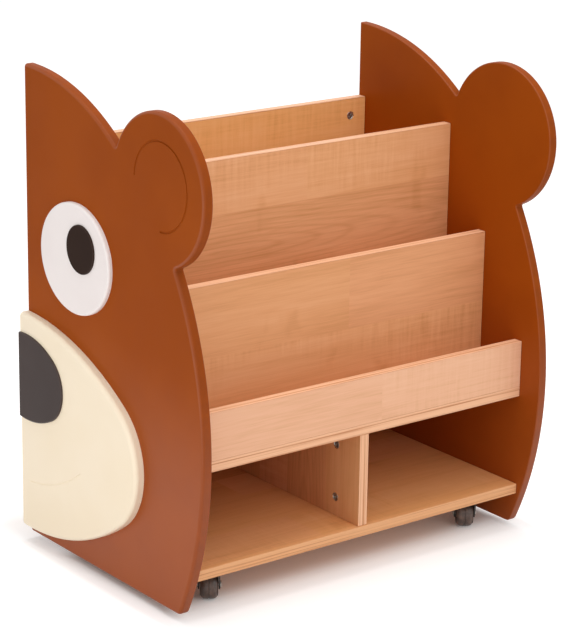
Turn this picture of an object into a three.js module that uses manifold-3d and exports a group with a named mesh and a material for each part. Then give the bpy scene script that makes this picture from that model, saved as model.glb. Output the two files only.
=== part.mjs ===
// A picture book browser on castors: two side panels shaped as a bear's head hold boards between them.
// Millimetres, +Z up, front towards -Y, floor at Z = 0, origin under the middle of the whole.
import * as THREE from 'three';
import { mergeVertices } from 'three/addons/utils/BufferGeometryUtils.js';
import Module from 'manifold-3d';

const wasm = await Module();
wasm.setup();

// Boards
const innerWidth = 700;
const panelThickness = 18;
const boardThickness = 18;
const seamGap = 0.3;
const baseShelfFront = 466.5;
const floorFront = 464;
const compartmentHeight = 163.4;
const lipHeight = 83;
const tierRise = 175;
const frontSlotDepth = 87.5;
const middleSlotDepth = 83.2;
const backBoardRise = 6.5;

// Side panel outline, measured forward of its straight back edge and up from its bottom edge
const panelFloorClearance = 12;
const panelHeight = 832.5;
const panelDepth = 513;
const headRadius = 443;
const earRadius = 125.5;
const earSetback = 1.4;
const earOverlap = 76.5;
const cheekRadius = 618;
const cheekDrop = 421.5;
const notchRadius = 4;
const cornerRadius = 12;
const panelOuterRound = 5.5;
const panelInnerBevel = 2;

// Groove cut in the ear, placed from the ear's centre
const earGrooveRadius = 72.3;
const earGrooveForward = 9.3;
const earGrooveUp = 8.7;
const earGrooveWidth = 3.6;
const earGrooveDepth = 1.8;
const earGrooveStart = -90;
const earGrooveEnd = 175;

// Eye and pupil
const eyeForward = 157;
const eyeHeight = 533;
const eyeHalfWidth = 103;
const eyeHalfHeight = 94.5;
const eyeThickness = 8;
const eyeRound = 4;
const pupilForward = 23;
const pupilUp = 21.5;
const pupilHalfWidth = 40.5;
const pupilHalfHeight = 41.5;
const pupilThickness = 3;
const pupilRound = 1.6;

// Muzzle: a side arc that runs on into a flatter arc above and below
const muzzleReach = 349.2;
const muzzleHeight = 208.1;
const muzzleSideRadius = 125.1;
const muzzleTopRadius = 535.1;
const muzzleTopAngle = 55.5;
const muzzleBottomRadius = 475.9;
const muzzleBottomAngle = -53.8;
const muzzleThickness = 17;
const muzzleRound = 8;

// Mouth groove: an arc centred above the chin on the muzzle's back edge
const mouthRadius = 306.5;
const mouthCentreHeight = 411.5;
const mouthStart = -84.8;
const mouthEnd = -53.1;
const mouthWidth = 2.4;
const mouthDepth = 0.9;

// Nose, made like the muzzle
const noseReach = 133.6;
const noseHeight = 291.8;
const noseSideRadius = 62.6;
const noseTopRadius = 158.8;
const noseTopAngle = 55.4;
const noseBottomRadius = 167.4;
const noseBottomAngle = -62.5;
const noseThickness = 3.5;
const noseRound = 2;

// Castors
const wheelRadius = 25;
const wheelWidth = 30;
const wheelCorner = 4;
const wheelRimDepth = 6;
const wheelWebThickness = 12;
const hubRadius = 9;
const axleRadius = 4;
const axleHeadRadius = 6.5;
const axleHeadThickness = 2.2;
const wheelSideClearance = 1;
const wheelTopClearance = 4;
const cheekThickness = 2.5;
const cheekBossRadius = 9;
const crownThickness = 4;
const castorTrail = 20;
const castorTurn = -37;
const raceRadius = 13;
const raceHeight = 10;
const kingpinRadius = 4;
const rivetHeadRadius = 7;
const rivetHeadThickness = 2.6;
const plateThickness = 2.5;
const plateMargin = 6;
const castorSideInset = 69;
const castorEdgeInset = 56;

// Wood screws of the castor plates
const screwRadius = 2;
const screwCover = 6;
const screwHeadRadius = 4.2;
const screwHeadFlat = 2.8;
const screwHeadHeight = 2.4;
const screwHeadClearance = 4;

// Cam fittings that draw the boards together
const camRadius = 7.5;
const camBackWall = 5;
const camSlotWidth = 2.2;
const camSlotLength = 10;
const camSlotDepth = 2.5;
const camEdgeDistance = 34;
const camFrontInset = 64;
const camTopInset = 32;

// Facets on round pieces
const wheelSides = 20;
const pinSides = 12;
const screwSides = 8;
const roundSteps = 2;
const cornerSteps = 4;
const cheekSteps = 9;
const notchSteps = 3;
const earSteps = 26;
const headSteps = 9;
const plateFlatSteps = 8;
const plateSideSteps = 12;
const eyeSteps = 40;
const pupilSteps = 28;
const earGrooveSteps = 24;
const mouthSteps = 10;
const grooveEndSteps = 4;
const bossSteps = 8;
const cutOvershoot = 1;

const colours = {
  brownLacquer: { color: 0x9b4a1b, roughness: 0.42, metalness: 0 },
  creamLacquer: { color: 0xf5e4ca, roughness: 0.4, metalness: 0 },
  whiteLacquer: { color: 0xf2e6e2, roughness: 0.38, metalness: 0 },
  blackLacquer: { color: 0x3a2c26, roughness: 0.35, metalness: 0 },
  beechBoard: { color: 0xdb9d72, roughness: 0.5, metalness: 0 },
  greyNylon: { color: 0x67504a, roughness: 0.6, metalness: 0 },
  blackSteel: { color: 0x1e1a18, roughness: 0.5, metalness: 0.6 },
  brightZinc: { color: 0xb6b2ac, roughness: 0.35, metalness: 0.9 },
};

// Places worked out from the sizes above
const headCentre = new THREE.Vector2(0, panelHeight - headRadius);
const earReach = headRadius + earRadius - earOverlap;
const earForward = panelDepth - earSetback - earRadius;
const earCentre = new THREE.Vector2(
  earForward,
  headCentre.y + Math.sqrt(earReach * earReach - earForward * earForward),
);
const cheekCentre = new THREE.Vector2(panelDepth - cheekRadius, earCentre.y - cheekDrop);
const backY = panelDepth / 2;

const axleHeight = wheelRadius * Math.cos(Math.PI / wheelSides);
const crownBottom = axleHeight + wheelRadius + wheelTopClearance;
const crownTop = crownBottom + crownThickness;
const raceBottom = crownTop + seamGap;
const plateBottom = raceBottom + raceHeight;
const plateTop = plateBottom + plateThickness;
const screwDepth = boardThickness - screwCover;
const camLength = boardThickness - camBackWall - 2 * seamGap;
const screwOffset = (raceRadius + screwHeadRadius + screwHeadClearance) / Math.SQRT2;

const baseBottom = plateTop + seamGap;
const baseTop = baseBottom + boardThickness;
const floorBottom = baseTop + compartmentHeight;
const floorTop = floorBottom + boardThickness;
const lipTop = floorTop + lipHeight;
const frontDividerTop = lipTop + tierRise;
const rearDividerTop = frontDividerTop + tierRise;
const upperFloorTop = frontDividerTop - lipHeight;
const backBoardTop = rearDividerTop + backBoardRise;
const lipBack = floorFront - boardThickness;
const frontDividerFront = lipBack - frontSlotDepth;
const frontDividerBack = frontDividerFront - boardThickness;
const rearDividerFront = frontDividerBack - middleSlotDepth;
const boardBack = boardThickness + seamGap;
const boardEnd = innerWidth / 2 - seamGap;

function radians(degrees) {
  return THREE.MathUtils.degToRad(degrees);
}

function directionOf(from, to) {
  return Math.atan2(to.y - from.y, to.x - from.x);
}

// One of the two points where two circles cross: side +1 lies left of the way from the first to the second
function crossing(centreA, radiusA, centreB, radiusB, side) {
  const apart = centreA.distanceTo(centreB);
  const along = (apart * apart + radiusA * radiusA - radiusB * radiusB) / (2 * apart);
  const across = Math.sqrt(radiusA * radiusA - along * along);
  const way = centreB.clone().sub(centreA).normalize();
  const left = new THREE.Vector2(-way.y, way.x);
  return centreA.clone().addScaledVector(way, along).addScaledVector(left, side * across);
}

// Points along an arc, turning anticlockwise, or clockwise where it is hollow
function arcPoints(centre, radius, start, end, steps, hollow = false) {
  const turn = 2 * Math.PI;
  const sweep = hollow ? -((((start - end) % turn) + turn) % turn) : (((end - start) % turn) + turn) % turn;
  return Array.from({ length: steps + 1 }, (_, step) => {
    const angle = start + (sweep * step) / steps;
    return new THREE.Vector2(centre.x + radius * Math.cos(angle), centre.y + radius * Math.sin(angle));
  });
}

// Outline of a side panel, drawn in by an inset everywhere but at its straight back edge
function panelOutline(inset) {
  const low = crossing(cheekCentre, cheekRadius + notchRadius, earCentre, earRadius + notchRadius, -1);
  const high = crossing(earCentre, earRadius + notchRadius, headCentre, headRadius + notchRadius, -1);
  const cornerReach = cheekRadius - cornerRadius;
  const cornerDrop = cheekCentre.y - cornerRadius;
  const corner = new THREE.Vector2(
    cheekCentre.x + Math.sqrt(cornerReach * cornerReach - cornerDrop * cornerDrop),
    cornerRadius,
  );
  const cheekStart = directionOf(cheekCentre, corner);
  const cheekEnd = directionOf(cheekCentre, low);
  const earStart = directionOf(earCentre, low);
  const earEnd = directionOf(earCentre, high);
  const headStart = directionOf(headCentre, high);
  const hollow = notchRadius + inset;
  const half = Math.PI;
  return [
    new THREE.Vector2(0, inset),
    ...arcPoints(corner, cornerRadius - inset, -Math.PI / 2, cheekStart, cornerSteps),
    ...arcPoints(cheekCentre, cheekRadius - inset, cheekStart, 0, cheekSteps).slice(1),
    ...arcPoints(cheekCentre, cheekRadius - inset, 0, cheekEnd, cheekSteps).slice(1),
    ...arcPoints(low, hollow, cheekEnd + half, earStart + half, notchSteps, true).slice(1),
    ...arcPoints(earCentre, earRadius - inset, earStart, earEnd, earSteps).slice(1),
    ...arcPoints(high, hollow, earEnd + half, headStart + half, notchSteps, true).slice(1),
    ...arcPoints(headCentre, headRadius - inset, headStart, half / 2, headSteps).slice(1),
  ];
}

// Outline of a half plate that ends at the panel's back edge: flat arc, side arc, flat arc
function halfPlateOutline(plate, inset) {
  const side = new THREE.Vector2(plate.reach - plate.sideRadius, plate.height);
  const flatCentre = (radius, angle) => new THREE.Vector2(
    side.x - (radius - plate.sideRadius) * Math.cos(radians(angle)),
    side.y - (radius - plate.sideRadius) * Math.sin(radians(angle)),
  );
  const bottom = flatCentre(plate.bottomRadius, plate.bottomAngle);
  const top = flatCentre(plate.topRadius, plate.topAngle);
  const bottomStart = -Math.acos(-bottom.x / (plate.bottomRadius - inset));
  const topEnd = Math.acos(-top.x / (plate.topRadius - inset));
  const sideStart = radians(plate.bottomAngle);
  const sideEnd = radians(plate.topAngle);
  return [
    ...arcPoints(bottom, plate.bottomRadius - inset, bottomStart, sideStart, plateFlatSteps),
    ...arcPoints(side, plate.sideRadius - inset, sideStart, sideEnd, plateSideSteps).slice(1),
    ...arcPoints(top, plate.topRadius - inset, sideEnd, topEnd, plateFlatSteps).slice(1),
  ];
}

function ovalOutline(oval, inset, steps) {
  return Array.from({ length: steps }, (_, step) => {
    const angle = (2 * Math.PI * step) / steps;
    return new THREE.Vector2(
      oval.forward + (oval.halfWidth - inset) * Math.cos(angle),
      oval.height + (oval.halfHeight - inset) * Math.sin(angle),
    );
  });
}

// Heights and insets up a plate's edge, bevelled at the back and rounded at the face
function edgeLevels(thickness, backBevel, faceRound) {
  const levels = [];
  if (backBevel > 0) levels.push({ height: 0, inset: backBevel });
  levels.push({ height: backBevel, inset: 0 });
  for (let step = 0; step <= roundSteps; step += 1) {
    const angle = (Math.PI / 2) * (step / roundSteps);
    levels.push({
      height: thickness - faceRound * (1 - Math.sin(angle)),
      inset: faceRound * (1 - Math.cos(angle)),
    });
  }
  return levels;
}

// Closed solid through outlines stacked outwards from one side of the bin: side -1 is left, +1 is right
function stackedPlate(levels, outlineAt, side) {
  const outlines = levels.map((level) => outlineAt(level.inset));
  const count = outlines[0].length;
  const positions = [];
  outlines.forEach((outline, index) => {
    outline.forEach((point) => positions.push(side * levels[index].height, backY - point.x, point.y));
  });
  const triangles = [];
  const addTriangle = (a, b, c) => triangles.push(...(side < 0 ? [a, b, c] : [a, c, b]));
  for (let level = 0; level + 1 < outlines.length; level += 1) {
    for (let index = 0; index < count; index += 1) {
      const next = (index + 1) % count;
      const low = level * count;
      const high = low + count;
      addTriangle(low + index, low + next, high + next);
      addTriangle(low + index, high + next, high + index);
    }
  }
  const last = (outlines.length - 1) * count;
  THREE.ShapeUtils.triangulateShape(outlines[0], []).forEach(([a, b, c]) => addTriangle(a, c, b));
  THREE.ShapeUtils.triangulateShape(outlines[outlines.length - 1], []).forEach(
    ([a, b, c]) => addTriangle(last + a, last + b, last + c),
  );
  const geometry = new THREE.BufferGeometry();
  geometry.setAttribute('position', new THREE.Float32BufferAttribute(positions, 3));
  geometry.setIndex(triangles);
  return geometry;
}

function toSolid(geometry) {
  const plain = geometry.clone();
  plain.deleteAttribute('normal');
  plain.deleteAttribute('uv');
  const merged = mergeVertices(plain);
  const mesh = new wasm.Mesh({
    numProp: 3,
    vertProperties: new Float32Array(merged.attributes.position.array),
    triVerts: new Uint32Array(merged.index.array),
  });
  return new wasm.Manifold(mesh);
}

function toGeometry(solid) {
  const mesh = solid.getMesh();
  const geometry = new THREE.BufferGeometry();
  geometry.setAttribute('position', new THREE.BufferAttribute(mesh.vertProperties, 3));
  geometry.setIndex(new THREE.BufferAttribute(mesh.triVerts, 1));
  return geometry;
}

function cutFrom(geometry, cutters) {
  return toGeometry(cutters.reduce((solid, cutter) => solid.subtract(toSolid(cutter)), toSolid(geometry)));
}

function piece(name, geometry, colour) {
  geometry.computeVertexNormals();
  const mesh = new THREE.Mesh(geometry, new THREE.MeshStandardMaterial(colour));
  mesh.name = name;
  return mesh;
}

// Groove along an arc with round ends, sunk from a face into the plate below it
function grooveCutter(groove, faceHeight, side) {
  const middle = groove.centre;
  const half = groove.width / 2;
  const start = radians(groove.start);
  const end = radians(groove.end);
  const onArc = (angle) => new THREE.Vector2(
    middle.x + groove.radius * Math.cos(angle),
    middle.y + groove.radius * Math.sin(angle),
  );
  const outline = [
    ...arcPoints(middle, groove.radius + half, start, end, groove.steps),
    ...arcPoints(onArc(end), half, end, end + Math.PI, grooveEndSteps).slice(1),
    ...arcPoints(middle, groove.radius - half, start, end, groove.steps).reverse().slice(1),
    ...arcPoints(onArc(start), half, start + Math.PI, start + 2 * Math.PI, grooveEndSteps).slice(1, -1),
  ];
  const levels = [
    { height: faceHeight - groove.depth, inset: 0 },
    { height: faceHeight + groove.depth, inset: 0 },
  ];
  return stackedPlate(levels, () => outline, side);
}

// Board between the panels, given by its ends, its back and front and its bottom and top
function boardGeometry(left, right, back, front, bottom, top) {
  const geometry = new THREE.BoxGeometry(right - left, front - back, top - bottom);
  geometry.translate((left + right) / 2, backY - (back + front) / 2, (bottom + top) / 2);
  return geometry;
}

// Cylinder from one point to another, drawn outside its facets so that a pin of that radius fits
function boreCutter(from, to, radius, sides) {
  const way = to.clone().sub(from);
  const geometry = new THREE.CylinderGeometry(
    radius / Math.cos(Math.PI / sides),
    radius / Math.cos(Math.PI / sides),
    way.length(),
    sides,
  );
  geometry.applyQuaternion(new THREE.Quaternion().setFromUnitVectors(
    new THREE.Vector3(0, 1, 0),
    way.clone().normalize(),
  ));
  const middle = from.clone().add(to).multiplyScalar(0.5);
  geometry.translate(middle.x, middle.y, middle.z);
  return geometry;
}

// Side panels with their face plates
function sideOfBin(side, word) {
  const group = new THREE.Group();
  const faceX = innerWidth / 2 + panelThickness;
  const muzzle = {
    reach: muzzleReach,
    height: muzzleHeight,
    sideRadius: muzzleSideRadius,
    topRadius: muzzleTopRadius,
    topAngle: muzzleTopAngle,
    bottomRadius: muzzleBottomRadius,
    bottomAngle: muzzleBottomAngle,
  };
  const nose = {
    reach: noseReach,
    height: noseHeight,
    sideRadius: noseSideRadius,
    topRadius: noseTopRadius,
    topAngle: noseTopAngle,
    bottomRadius: noseBottomRadius,
    bottomAngle: noseBottomAngle,
  };
  const eye = {
    forward: eyeForward,
    height: eyeHeight,
    halfWidth: eyeHalfWidth,
    halfHeight: eyeHalfHeight,
  };
  const pupil = {
    forward: eyeForward + pupilForward,
    height: eyeHeight + pupilUp,
    halfWidth: pupilHalfWidth,
    halfHeight: pupilHalfHeight,
  };
  const earGroove = {
    centre: earCentre.clone().add(new THREE.Vector2(earGrooveForward, earGrooveUp)),
    radius: earGrooveRadius,
    width: earGrooveWidth,
    depth: earGrooveDepth,
    start: earGrooveStart,
    end: earGrooveEnd,
    steps: earGrooveSteps,
  };
  const mouth = {
    centre: new THREE.Vector2(0, mouthCentreHeight),
    radius: mouthRadius,
    width: mouthWidth,
    depth: mouthDepth,
    start: mouthStart,
    end: mouthEnd,
    steps: mouthSteps,
  };
  const panelPlate = stackedPlate(
    edgeLevels(panelThickness, panelInnerBevel, panelOuterRound),
    panelOutline,
    side,
  );
  const muzzlePlate = stackedPlate(
    edgeLevels(muzzleThickness, 0, muzzleRound),
    (inset) => halfPlateOutline(muzzle, inset),
    side,
  );
  const panel = cutFrom(panelPlate, [grooveCutter(earGroove, panelThickness, side)]);
  const muzzleSolid = cutFrom(muzzlePlate, [grooveCutter(mouth, muzzleThickness, side)]);
  const plates = [
    ['side_panel', panel, 'brownLacquer', -panelThickness],
    ['muzzle', muzzleSolid, 'creamLacquer', seamGap],
    ['nose', stackedPlate(
      edgeLevels(noseThickness, 0, noseRound),
      (inset) => halfPlateOutline(nose, inset),
      side,
    ), 'blackLacquer', muzzleThickness + 2 * seamGap],
    ['eye', stackedPlate(
      edgeLevels(eyeThickness, 0, eyeRound),
      (inset) => ovalOutline(eye, inset, eyeSteps),
      side,
    ), 'whiteLacquer', seamGap],
    ['pupil', stackedPlate(
      edgeLevels(pupilThickness, 0, pupilRound),
      (inset) => ovalOutline(pupil, inset, pupilSteps),
      side,
    ), 'blackLacquer', eyeThickness + 2 * seamGap],
  ];
  plates.forEach(([name, geometry, colour, proud]) => {
    const mesh = piece(`${word}_${name}`, geometry, colours[colour]);
    mesh.position.x = side * (faceX + proud);
    group.add(mesh);
  });
  group.position.z = panelFloorClearance;
  return group;
}

// Cam fitting along an axis, its slotted face at the given point and its body sunk into the board behind
function camFitting(name, face, inward) {
  const body = new THREE.CylinderGeometry(camRadius, camRadius, camLength, pinSides);
  body.translate(0, -camLength / 2, 0);
  const slots = [0, Math.PI / 2].map((turn) => {
    const slot = new THREE.BoxGeometry(camSlotLength, 2 * camSlotDepth, camSlotWidth);
    slot.rotateY(turn);
    return slot;
  });
  const mesh = piece(name, cutFrom(body, slots), colours.brightZinc);
  mesh.quaternion.setFromUnitVectors(new THREE.Vector3(0, -1, 0), inward);
  mesh.position.copy(face).addScaledVector(inward, seamGap);
  return mesh;
}

function camBore(face, inward) {
  const outside = face.clone().addScaledVector(inward, -cutOvershoot);
  const bottom = face.clone().addScaledVector(inward, camLength + 2 * seamGap);
  return boreCutter(outside, bottom, camRadius + seamGap, pinSides);
}

// Boards between the side panels
function carcass(screwPlaces) {
  const group = new THREE.Group();
  const partitionFace = -boardThickness / 2;
  const camColumns = [['front', floorFront - camFrontInset], ['rear', boardBack + camFrontInset]];
  const partitionCams = camColumns.flatMap(([word, forward]) => [
    { name: `partition_${word}_lower_cam`, forward, height: baseTop + camEdgeDistance },
    { name: `partition_${word}_upper_cam`, forward, height: floorBottom - camEdgeDistance },
  ]).map((cam) => ({
    name: cam.name,
    face: new THREE.Vector3(partitionFace, backY - cam.forward, cam.height),
    inward: new THREE.Vector3(1, 0, 0),
  }));
  const backCams = [['left', -1], ['right', 1]].flatMap(([word, side]) => [
    { name: `back_board_${word}_upper_cam`, height: backBoardTop - camTopInset, side },
    { name: `back_board_${word}_lower_cam`, height: upperFloorTop + camTopInset, side },
  ]).map((cam) => ({
    name: cam.name,
    face: new THREE.Vector3(cam.side * (boardEnd - camEdgeDistance), backY - boardThickness, cam.height),
    inward: new THREE.Vector3(0, 1, 0),
  }));
  const pilotHoles = screwPlaces.map((place) => boreCutter(
    new THREE.Vector3(place.x, place.y, baseBottom - cutOvershoot),
    new THREE.Vector3(place.x, place.y, baseBottom + screwDepth + seamGap),
    screwRadius + seamGap,
    screwSides,
  ));
  const partition = boardGeometry(
    partitionFace,
    boardThickness / 2,
    boardBack,
    floorFront,
    baseTop + seamGap,
    floorBottom - seamGap,
  );
  const backBoard = boardGeometry(-boardEnd, boardEnd, 0, boardThickness, baseBottom, backBoardTop);
  const fullBoard = (...sides) => boardGeometry(-boardEnd, boardEnd, ...sides);
  const boards = [
    ['base_shelf', cutFrom(fullBoard(boardBack, baseShelfFront, baseBottom, baseTop), pilotHoles)],
    ['partition', cutFrom(partition, partitionCams.map((cam) => camBore(cam.face, cam.inward)))],
    ['browser_floor', fullBoard(boardBack, floorFront, floorBottom, floorTop)],
    ['front_lip', fullBoard(lipBack, floorFront, floorTop + seamGap, lipTop)],
    ['front_divider', fullBoard(frontDividerBack, frontDividerFront, floorTop + seamGap, frontDividerTop)],
    ['upper_floor', fullBoard(
      boardBack,
      frontDividerBack - seamGap,
      upperFloorTop - boardThickness,
      upperFloorTop,
    )],
    ['rear_divider', fullBoard(
      rearDividerFront - boardThickness,
      rearDividerFront,
      upperFloorTop + seamGap,
      rearDividerTop,
    )],
    ['back_board', cutFrom(backBoard, backCams.map((cam) => camBore(cam.face, cam.inward)))],
  ];
  boards.forEach(([name, geometry]) => group.add(piece(name, geometry, colours.beechBoard)));
  [...partitionCams, ...backCams].forEach((cam) => group.add(camFitting(cam.name, cam.face, cam.inward)));
  return group;
}

// Solid turned about the vertical axis from radius and height pairs
function turned(pairs, sides, firstAngle = 0) {
  const profile = pairs.map(([radius, height]) => new THREE.Vector2(radius, height));
  return new THREE.LatheGeometry(profile, sides, firstAngle);
}

// Wheel turned about its axle, along X, standing on one flat of its tread
function wheelGeometry() {
  const bore = (axleRadius + seamGap) / Math.cos(Math.PI / wheelSides);
  const half = wheelWidth / 2;
  const web = wheelWebThickness / 2;
  const rim = wheelRadius - wheelRimDepth;
  const geometry = turned([
    [bore, -half],
    [hubRadius, -half],
    [hubRadius, -web],
    [rim, -web],
    [wheelRadius - wheelCorner, -half],
    [wheelRadius, wheelCorner - half],
    [wheelRadius, half - wheelCorner],
    [wheelRadius - wheelCorner, half],
    [rim, web],
    [hubRadius, web],
    [hubRadius, half],
    [bore, half],
    [bore, -half],
  ], wheelSides, Math.PI / wheelSides);
  geometry.rotateZ(-Math.PI / 2);
  return geometry;
}

function axleGeometry() {
  const reach = wheelWidth / 2 + wheelSideClearance + cheekThickness + seamGap;
  const end = reach + axleHeadThickness;
  const geometry = turned([
    [0, -end],
    [axleHeadRadius, -end],
    [axleHeadRadius, -reach],
    [axleRadius, -reach],
    [axleRadius, reach],
    [axleHeadRadius, reach],
    [axleHeadRadius, end],
    [0, end],
  ], pinSides);
  geometry.rotateZ(-Math.PI / 2);
  return geometry;
}

// Fork: a crown plate with two cheeks that taper back to the axle
function forkGeometry() {
  const inner = wheelWidth / 2 + wheelSideClearance;
  const outer = inner + cheekThickness;
  const outline = new THREE.Shape();
  outline.moveTo(-raceRadius, crownTop);
  outline.lineTo(castorTrail - cheekBossRadius, axleHeight);
  outline.absarc(castorTrail, axleHeight, cheekBossRadius, Math.PI, 2 * Math.PI, false);
  outline.lineTo(raceRadius, crownTop);
  outline.closePath();
  const cheeks = [-outer, inner].map((start) => {
    const cheek = new THREE.ExtrudeGeometry(outline, {
      depth: cheekThickness,
      bevelEnabled: false,
      curveSegments: bossSteps,
    });
    cheek.rotateX(Math.PI / 2);
    cheek.rotateZ(Math.PI / 2);
    cheek.translate(start, 0, 0);
    return cheek;
  });
  const crown = new THREE.BoxGeometry(
    2 * inner + cheekThickness,
    2 * raceRadius - 2 * seamGap,
    crownThickness,
  );
  crown.translate(0, 0, (crownBottom + crownTop) / 2);
  const axleHole = boreCutter(
    new THREE.Vector3(-outer - cutOvershoot, castorTrail, axleHeight),
    new THREE.Vector3(outer + cutOvershoot, castorTrail, axleHeight),
    axleRadius + seamGap,
    pinSides,
  );
  const kingpinHole = boreCutter(
    new THREE.Vector3(0, 0, crownBottom - cutOvershoot),
    new THREE.Vector3(0, 0, crownTop + cutOvershoot),
    kingpinRadius + seamGap,
    pinSides,
  );
  const fork = cheeks.reduce((solid, cheek) => solid.add(toSolid(cheek)), toSolid(crown));
  return cutFrom(toGeometry(fork), [axleHole, kingpinHole]);
}

// Top plate with the swivel race below it and the kingpin riveted through the crown
function plateGeometry() {
  const size = 2 * (screwOffset + plateMargin);
  const plate = new THREE.BoxGeometry(size, size, plateThickness);
  plate.translate(0, 0, (plateBottom + plateTop) / 2);
  const headTop = crownBottom - seamGap;
  const swivel = turned([
    [0, headTop - rivetHeadThickness],
    [rivetHeadRadius, headTop - rivetHeadThickness],
    [rivetHeadRadius, headTop],
    [kingpinRadius, headTop],
    [kingpinRadius, raceBottom],
    [raceRadius, raceBottom],
    [raceRadius, plateBottom + plateThickness / 2],
    [0, plateBottom + plateThickness / 2],
  ], pinSides);
  swivel.rotateX(Math.PI / 2);
  const holes = plateCorners().map(([x, y]) => boreCutter(
    new THREE.Vector3(x, y, plateBottom - cutOvershoot),
    new THREE.Vector3(x, y, plateTop + cutOvershoot),
    screwRadius + seamGap,
    screwSides,
  ));
  return cutFrom(toGeometry(toSolid(plate).add(toSolid(swivel))), holes);
}

function plateCorners() {
  return [[-1, -1], [1, -1], [1, 1], [-1, 1]].map(([x, y]) => [x * screwOffset, y * screwOffset]);
}

function screwGeometry() {
  const headBottom = plateBottom - seamGap - screwHeadHeight;
  const geometry = turned([
    [0, headBottom],
    [screwHeadFlat, headBottom],
    [screwHeadRadius, plateBottom - seamGap],
    [screwRadius, plateBottom - seamGap],
    [screwRadius, baseBottom + screwDepth - screwRadius],
    [0, baseBottom + screwDepth],
  ], screwSides);
  geometry.rotateX(Math.PI / 2);
  return geometry;
}

const castorRows = [['front', baseShelfFront - castorEdgeInset], ['rear', boardBack + castorEdgeInset]];
const castorPlaces = castorRows.flatMap(([row, forward]) => [['left', -1], ['right', 1]].map(
  ([word, side]) => ({
    word: `${row}_${word}`,
    x: side * (innerWidth / 2 - castorSideInset),
    y: backY - forward,
  }),
));

// A plate stays square to the shelf, and its fork, axle and wheel stand turned about the kingpin
function castor(place) {
  const group = new THREE.Group();
  group.position.set(place.x, place.y, 0);
  group.add(piece(`${place.word}_castor_plate`, plateGeometry(), colours.brightZinc));
  plateCorners().forEach(([x, y], index) => {
    const screw = piece(`${place.word}_castor_screw_${index + 1}`, screwGeometry(), colours.brightZinc);
    screw.position.set(x, y, 0);
    group.add(screw);
  });
  const swivel = new THREE.Group();
  swivel.rotation.z = radians(castorTurn);
  swivel.add(piece(`${place.word}_castor_fork`, forkGeometry(), colours.blackSteel));
  const axle = piece(`${place.word}_castor_axle`, axleGeometry(), colours.brightZinc);
  const wheel = piece(`${place.word}_castor_wheel`, wheelGeometry(), colours.greyNylon);
  [axle, wheel].forEach((mesh) => {
    mesh.position.set(0, castorTrail, axleHeight);
    swivel.add(mesh);
  });
  group.add(swivel);
  return group;
}

const screwPlaces = castorPlaces.flatMap((place) => plateCorners().map(([x, y]) => ({
  x: place.x + x,
  y: place.y + y,
})));

const bin = new THREE.Group();
bin.name = 'picture_book_browser';
bin.add(sideOfBin(-1, 'left'), sideOfBin(1, 'right'), carcass(screwPlaces));
castorPlaces.forEach((place) => bin.add(castor(place)));

export default bin;
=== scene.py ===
import math
from functools import partial

import bmesh
import bpy
from mathutils import Matrix, Vector


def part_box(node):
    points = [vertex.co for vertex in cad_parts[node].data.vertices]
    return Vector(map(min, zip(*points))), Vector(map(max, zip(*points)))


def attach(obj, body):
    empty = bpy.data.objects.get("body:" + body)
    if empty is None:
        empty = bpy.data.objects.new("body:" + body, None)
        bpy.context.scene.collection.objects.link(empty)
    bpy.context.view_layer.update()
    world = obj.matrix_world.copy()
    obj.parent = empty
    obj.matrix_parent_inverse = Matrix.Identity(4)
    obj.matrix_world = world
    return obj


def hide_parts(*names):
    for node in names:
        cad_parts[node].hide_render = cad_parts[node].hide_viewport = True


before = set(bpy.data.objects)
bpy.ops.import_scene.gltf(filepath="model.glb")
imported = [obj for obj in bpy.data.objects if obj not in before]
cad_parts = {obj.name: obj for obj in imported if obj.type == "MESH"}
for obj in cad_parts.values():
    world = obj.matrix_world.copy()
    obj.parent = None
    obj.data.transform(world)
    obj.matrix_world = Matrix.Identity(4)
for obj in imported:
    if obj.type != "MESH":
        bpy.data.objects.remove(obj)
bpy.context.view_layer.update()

scene = bpy.context.scene
scene.view_settings.view_transform = "Standard"
print("frame loaded:", len(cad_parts), "solids")


# Small helpers for meshes

def evenShade(piece):  # normals that follow the large faces, kept in the mesh
    modifier = piece.modifiers.new("evenShade", "WEIGHTED_NORMAL")
    modifier.keep_sharp = True
    evaluated = piece.evaluated_get(bpy.context.evaluated_depsgraph_get())
    rough = piece.data
    name = rough.name
    piece.data = bpy.data.meshes.new_from_object(evaluated)
    piece.modifiers.clear()
    bpy.data.meshes.remove(rough)
    piece.data.name = name


sharpAngle = math.radians(34)  # an edge that turns by more stays crisp


def addObject(name, data):
    item = bpy.data.objects.new(name, data)
    scene.collection.objects.link(item)
    return item


def dataFrom(mesh, name):
    data = bpy.data.meshes.new(name)
    bmesh.ops.recalc_face_normals(mesh, faces=mesh.faces[:])
    mesh.to_mesh(data)
    mesh.free()
    return data


def addPiece(name, mesh, material, body, nodes):
    data = dataFrom(mesh, name)
    data.materials.append(material)
    data.shade_smooth()
    data.set_sharp_from_angle(angle=sharpAngle)
    piece = addObject(name, data)
    evenShade(piece)
    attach(piece, body)
    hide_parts(*nodes)


def combine(base, tools, operation):  # DIFFERENCE or UNION of closed meshes
    baseItem = addObject("loose", dataFrom(base, "loose"))
    toolItems = [addObject("loose", dataFrom(tool, "loose")) for tool in tools]
    for toolItem in toolItems:
        modifier = baseItem.modifiers.new("combine", "BOOLEAN")
        modifier.operation = operation
        modifier.object = toolItem
        modifier.solver = "EXACT"
    evaluated = baseItem.evaluated_get(bpy.context.evaluated_depsgraph_get())
    result = bmesh.new()
    result.from_mesh(evaluated.to_mesh())
    evaluated.to_mesh_clear()
    for item in [baseItem, *toolItems]:
        data = item.data
        bpy.data.objects.remove(item)
        bpy.data.meshes.remove(data)
    return result


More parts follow.
